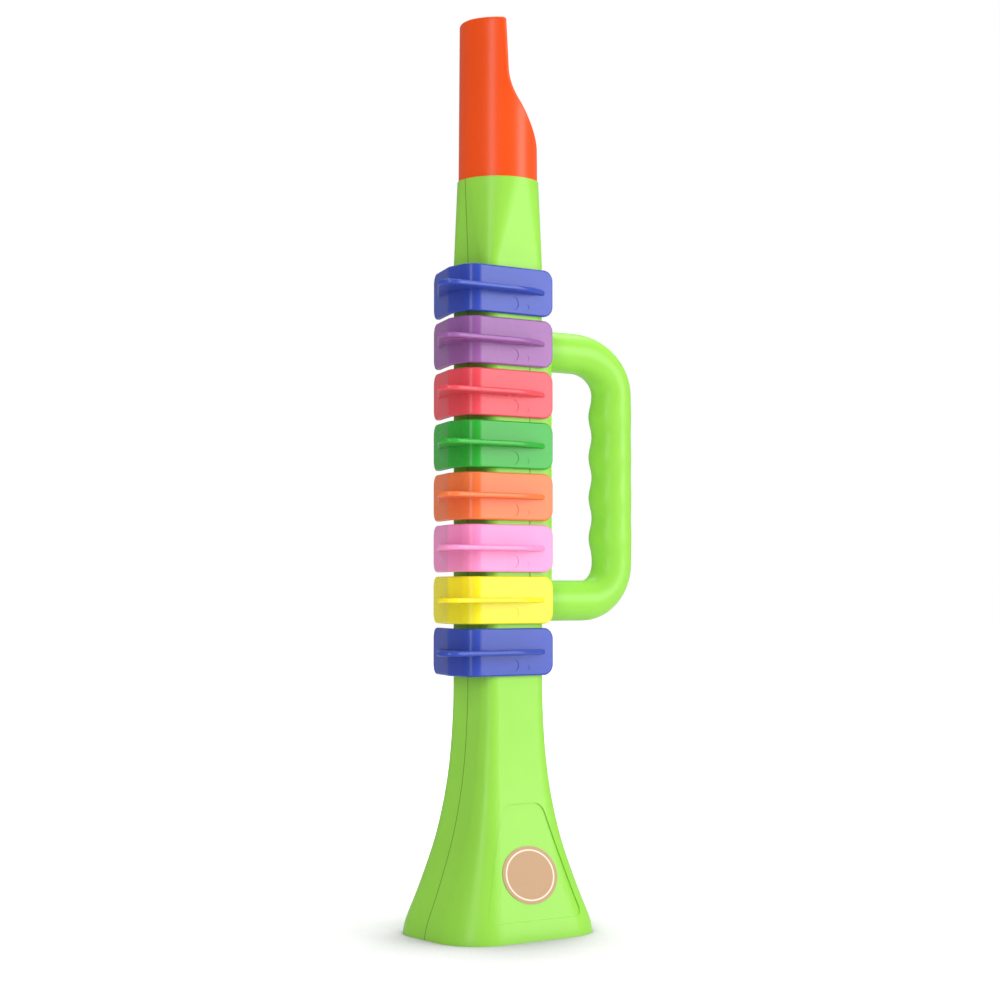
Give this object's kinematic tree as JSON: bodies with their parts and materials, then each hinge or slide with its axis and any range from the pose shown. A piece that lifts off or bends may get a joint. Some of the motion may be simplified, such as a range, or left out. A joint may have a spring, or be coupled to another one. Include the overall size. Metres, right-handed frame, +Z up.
{
  "type": "toy trumpet",
  "caption": "Upright toy trumpet: flared bell, straight body with wrap-round spring-return keys with finger wings, D-shaped handle and scooped mouthpiece.",
  "frame": {"origin": "on the body's axis, in the plane of the bell's rim", "axes": "+Z up from the bell to the mouthpiece; the keys are pressed along +Y; the handle is on +Y; the halves meet at X = 0"},
  "size_m": [0.064, 0.1232, 0.42],
  "materials": {
    "body_green": "moulded, glossy light green",
    "handle_green": "moulded, glossy light green",
    "label_tan": "blank round self-adhesive label",
    "mouth_orange": "moulded, glossy orange",
    "board_white": "moulded, satin white",
    "reed_brass": "stamped sheet",
    "screw_steel": "zinc plated",
    "spring_steel": "drawn wire",
    "pad_rubber": "soft moulded",
    "key_blue": "moulded, glossy blue",
    "key_purple": "moulded, glossy purple",
    "key_red": "moulded, glossy red",
    "key_green": "moulded, glossy green",
    "key_orange": "moulded, glossy orange",
    "key_pink": "moulded, glossy pink",
    "key_yellow": "moulded, glossy yellow"
  },
  "bodies": {
    "trumpet_body": {"body_near_half": "body_green", "body_far_half": "body_green", "handle": "handle_green", "bell_label": "label_tan", "mouthpiece": "mouth_orange", "sound_board": "board_white", "reeds": "reed_brass", "case_screws": "screw_steel", "handle_screws": "screw_steel", "spring_blue_low": "spring_steel", "spring_yellow": "spring_steel", "spring_pink": "spring_steel", "spring_orange": "spring_steel", "spring_green": "spring_steel", "spring_red": "spring_steel", "spring_purple": "spring_steel", "spring_blue_high": "spring_steel"},
    "key_blue_low": {"key_blue_low": "key_blue", "pad_blue_low": "pad_rubber"},
    "key_yellow": {"key_yellow": "key_yellow", "pad_yellow": "pad_rubber"},
    "key_pink": {"key_pink": "key_pink", "pad_pink": "pad_rubber"},
    "key_orange": {"key_orange": "key_orange", "pad_orange": "pad_rubber"},
    "key_green": {"key_green": "key_green", "pad_green": "pad_rubber"},
    "key_red": {"key_red": "key_red", "pad_red": "pad_rubber"},
    "key_purple": {"key_purple": "key_purple", "pad_purple": "pad_rubber"},
    "key_blue_high": {"key_blue_high": "key_blue", "pad_blue_high": "pad_rubber"}
  },
  "joints": [
    {"name": "press_blue_low", "type": "slide", "parent": "trumpet_body", "child": "key_blue_low", "axis": [0, 1, 0], "range_m": [0, 0.004], "stiffness_N_per_m": 150, "springref_m": -0.004, "deforming": ["spring_blue_low"]},
    {"name": "press_yellow", "type": "slide", "parent": "trumpet_body", "child": "key_yellow", "axis": [0, 1, 0], "range_m": [0, 0.004], "stiffness_N_per_m": 150, "springref_m": -0.004, "deforming": ["spring_yellow"]},
    {"name": "press_pink", "type": "slide", "parent": "trumpet_body", "child": "key_pink", "axis": [0, 1, 0], "range_m": [0, 0.004], "stiffness_N_per_m": 150, "springref_m": -0.004, "deforming": ["spring_pink"]},
    {"name": "press_orange", "type": "slide", "parent": "trumpet_body", "child": "key_orange", "axis": [0, 1, 0], "range_m": [0, 0.004], "stiffness_N_per_m": 150, "springref_m": -0.004, "deforming": ["spring_orange"]},
    {"name": "press_green", "type": "slide", "parent": "trumpet_body", "child": "key_green", "axis": [0, 1, 0], "range_m": [0, 0.004], "stiffness_N_per_m": 150, "springref_m": -0.004, "deforming": ["spring_green"]},
    {"name": "press_red", "type": "slide", "parent": "trumpet_body", "child": "key_red", "axis": [0, 1, 0], "range_m": [0, 0.004], "stiffness_N_per_m": 150, "springref_m": -0.004, "deforming": ["spring_red"]},
    {"name": "press_purple", "type": "slide", "parent": "trumpet_body", "child": "key_purple", "axis": [0, 1, 0], "range_m": [0, 0.004], "stiffness_N_per_m": 150, "springref_m": -0.004, "deforming": ["spring_purple"]},
    {"name": "press_blue_high", "type": "slide", "parent": "trumpet_body", "child": "key_blue_high", "axis": [0, 1, 0], "range_m": [0, 0.004], "stiffness_N_per_m": 150, "springref_m": -0.004, "deforming": ["spring_blue_high"]}
  ]
}
